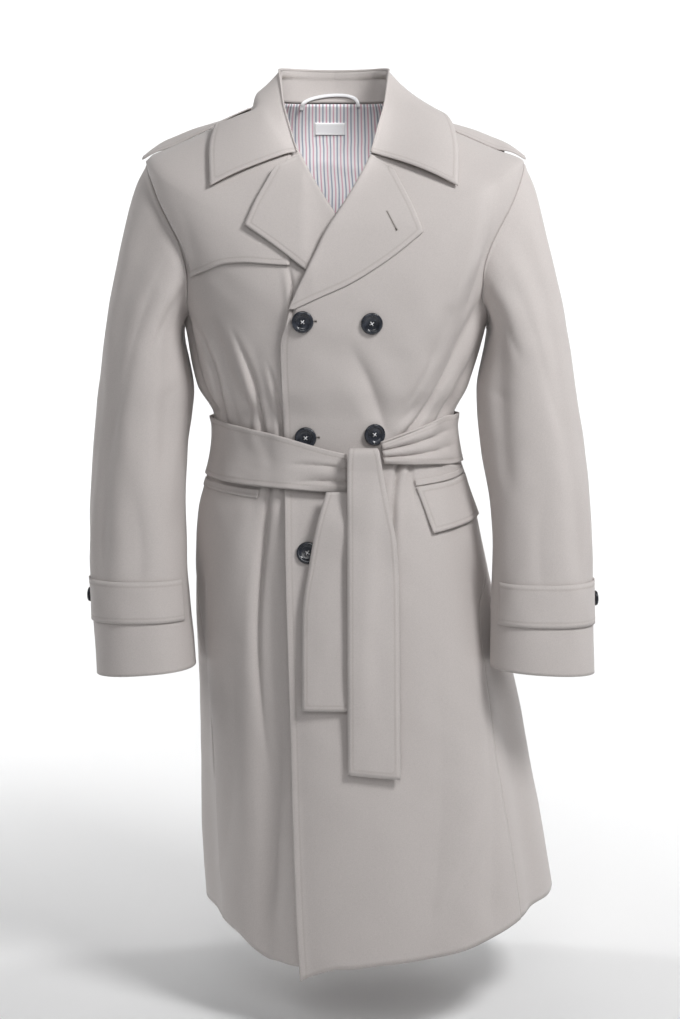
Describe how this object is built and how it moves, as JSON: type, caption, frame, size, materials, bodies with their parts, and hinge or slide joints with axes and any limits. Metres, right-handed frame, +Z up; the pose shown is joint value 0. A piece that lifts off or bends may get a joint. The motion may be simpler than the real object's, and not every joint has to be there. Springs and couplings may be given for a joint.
{
  "type": "trench coat",
  "caption": "Belted double-breasted trench coat in its worn form: hollow body and sleeves, wide collar and lapels, storm flap, shoulder straps, knotted belt, flared hem",
  "frame": {"origin": "at the neck, on the coat's middle line, level with the neck ends of the shoulder seams", "axes": "+Z up along the coat's length, +X to the wearer's left, the front faces -Y"},
  "size_m": [0.6453, 0.3985, 1.1272],
  "materials": {
    "gabardine": "matt beige-grey cotton gabardine",
    "shirting": "white cotton lining with narrow pink and grey stripes",
    "white_cloth": "white woven patch and tape",
    "button_horn": "dark glossy horn-like resin"
  },
  "bodies": {
    "root": {"back": "gabardine", "belt_band": "gabardine", "belt_end_behind": "gabardine", "belt_end_front": "gabardine", "belt_knot": "gabardine", "button_1": "button_horn", "button_2": "button_horn", "button_3": "button_horn", "button_4": "button_horn", "button_5": "button_horn", "button_6": "button_horn", "collar_fall": "gabardine", "collar_stand": "gabardine", "cuff_button_left": "button_horn", "cuff_button_right": "button_horn", "cuff_strap_left": "gabardine", "cuff_strap_right": "gabardine", "epaulette_button_left": "button_horn", "epaulette_button_right": "button_horn", "epaulette_left": "gabardine", "epaulette_right": "gabardine", "front_left": "gabardine", "front_right": "gabardine", "hanger_loop": "white_cloth", "lapel_left": "gabardine", "lapel_right": "gabardine", "lining_back": "shirting", "neck_label": "white_cloth", "pocket_flap_left": "gabardine", "pocket_welt_left": "gabardine", "pocket_welt_right": "gabardine", "sleeve_left": "gabardine", "sleeve_right": "gabardine", "storm_flap": "gabardine"}
  },
  "joints": []
}
